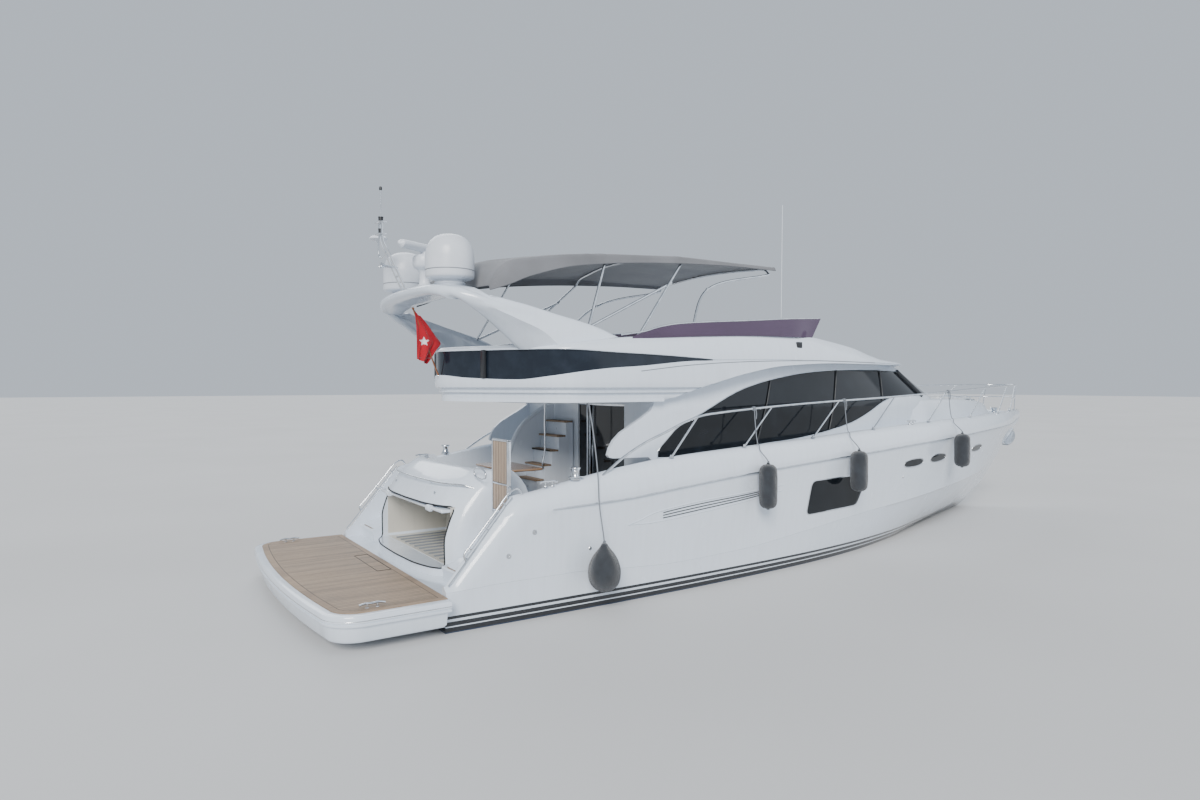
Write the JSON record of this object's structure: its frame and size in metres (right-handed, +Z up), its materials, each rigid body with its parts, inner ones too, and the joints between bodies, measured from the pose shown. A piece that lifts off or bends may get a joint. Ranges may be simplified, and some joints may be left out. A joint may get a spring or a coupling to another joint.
{
  "type": "flybridge motor yacht",
  "caption": "Flybridge motor yacht with swim platform, dark saloon glazing, radar arch with two domes, folding sunshade over the flybridge and hung fenders.",
  "frame": {"origin": "centreline at the waterline, midway between the platform's aft edge and the stem", "axes": "+X towards the bow, +Y to port, +Z up"},
  "size_m": [18.6, 5.235, 7.0787],
  "materials": {
    "gelcoat": "gloss",
    "teak": "oiled",
    "varnished_teak": "gloss varnish",
    "stainless_steel": "polished",
    "dark_glass": "tinted",
    "tinted_acrylic": "gloss",
    "bronze": "cast",
    "seat_vinyl": "matte",
    "helm_vinyl": "matte",
    "canopy_cloth": "woven",
    "flag_cloth": "woven",
    "fender_cover": "knitted cover",
    "radome_white": "satin",
    "black_plastic": "satin"
  },
  "bodies": {
    "yacht": {"hull": "gelcoat", "swim_platform": "gelcoat", "platform_teak": "teak", "transom_block": "gelcoat", "stern_steps_port": "gelcoat", "stern_steps_starboard": "gelcoat", "cockpit_teak": "teak", "cockpit_bench_seat": "seat_vinyl", "cockpit_table": "varnished_teak", "flybridge_stairs": "gelcoat", "passerelle_socket": "stainless_steel", "flybridge": "gelcoat", "deckhouse": "gelcoat", "side_glass_starboard": "dark_glass", "side_glass_port": "dark_glass", "windscreen": "dark_glass", "coachroof": "gelcoat", "foredeck_pad": "seat_vinyl", "radar_arch": "gelcoat", "satellite_dome_starboard": "radome_white", "satellite_dome_port": "radome_white", "radar_drum": "radome_white", "light_mast": "stainless_steel", "bimini_canopy": "canopy_cloth", "bimini_frame_fore": "stainless_steel", "bimini_frame_aft": "stainless_steel", "wind_deflector_port": "tinted_acrylic", "wind_deflector_starboard": "tinted_acrylic", "helm_console": "gelcoat", "helm_seat": "helm_vinyl", "flybridge_sofa": "seat_vinyl", "guard_rail": "stainless_steel", "anchor": "stainless_steel", "windlass": "stainless_steel", "shaft_bracket_starboard": "bronze", "shaft_bracket_port": "bronze", "fender_1": "fender_cover", "fender_2": "fender_cover", "fender_3": "fender_cover", "fender_teardrop": "fender_cover", "ensign_staff": "varnished_teak", "ensign": "flag_cloth"},
    "garage_door": {"garage_door": "gelcoat"},
    "saloon_door": {"saloon_door": "dark_glass"},
    "passerelle": {"passerelle": "teak"},
    "steering_wheel": {"steering_wheel": "black_plastic"},
    "radar_scanner": {"radar_scanner": "radome_white"},
    "propeller_starboard": {"propeller_starboard": "bronze"},
    "propeller_port": {"propeller_port": "bronze"},
    "rudder_starboard": {"rudder_starboard": "bronze"},
    "rudder_port": {"rudder_port": "bronze"}
  },
  "joints": [
    {"name": "garage_door_hinge", "type": "hinge", "parent": "yacht", "child": "garage_door", "pos_m": [-7.42, 0, 1.31], "axis": [0, 1, 0], "range_deg": [0, 90]},
    {"name": "saloon_door_slide", "type": "slide", "parent": "yacht", "child": "saloon_door", "axis": [0, 1, 0], "range_m": [0, 1]},
    {"name": "passerelle_hinge", "type": "hinge", "parent": "yacht", "child": "passerelle", "pos_m": [-6.83, -1.865, 1.34], "axis": [0, -1, 0], "range_deg": [0, 90]},
    {"name": "rudder_starboard_turn", "type": "hinge", "parent": "yacht", "child": "rudder_starboard", "pos_m": [-7.33, -0.78, -0.8], "axis": [0, 0, 1], "range_deg": [-35, 35]},
    {"name": "rudder_port_turn", "type": "hinge", "parent": "yacht", "child": "rudder_port", "pos_m": [-7.33, 0.78, -0.8], "axis": [0, 0, 1], "range_deg": [-35, 35]},
    {"name": "steering_wheel_turn", "type": "hinge", "parent": "yacht", "child": "steering_wheel", "pos_m": [-1.4592, -0.925, 3.74735], "axis": [-0.816, 0, 0.578], "range_deg": [-450, 450]},
    {"name": "radar_scanner_turn", "type": "hinge", "parent": "yacht", "child": "radar_scanner", "pos_m": [-7.15, 0, 4.95], "axis": [0, 0, 1], "continuous": true},
    {"name": "propeller_starboard_turn", "type": "hinge", "parent": "yacht", "child": "propeller_starboard", "pos_m": [-6.9, -0.78, -0.905], "axis": [0.988, 0, 0.1544], "continuous": true},
    {"name": "propeller_port_turn", "type": "hinge", "parent": "yacht", "child": "propeller_port", "pos_m": [-6.9, 0.78, -0.905], "axis": [0.988, 0, 0.1544], "continuous": true}
  ],
  "couplings": [
    {"joint": "rudder_port_turn", "follows": "rudder_starboard_turn", "ratio": 1},
    {"joint": "steering_wheel_turn", "follows": "rudder_starboard_turn", "ratio": -12.85}
  ]
}
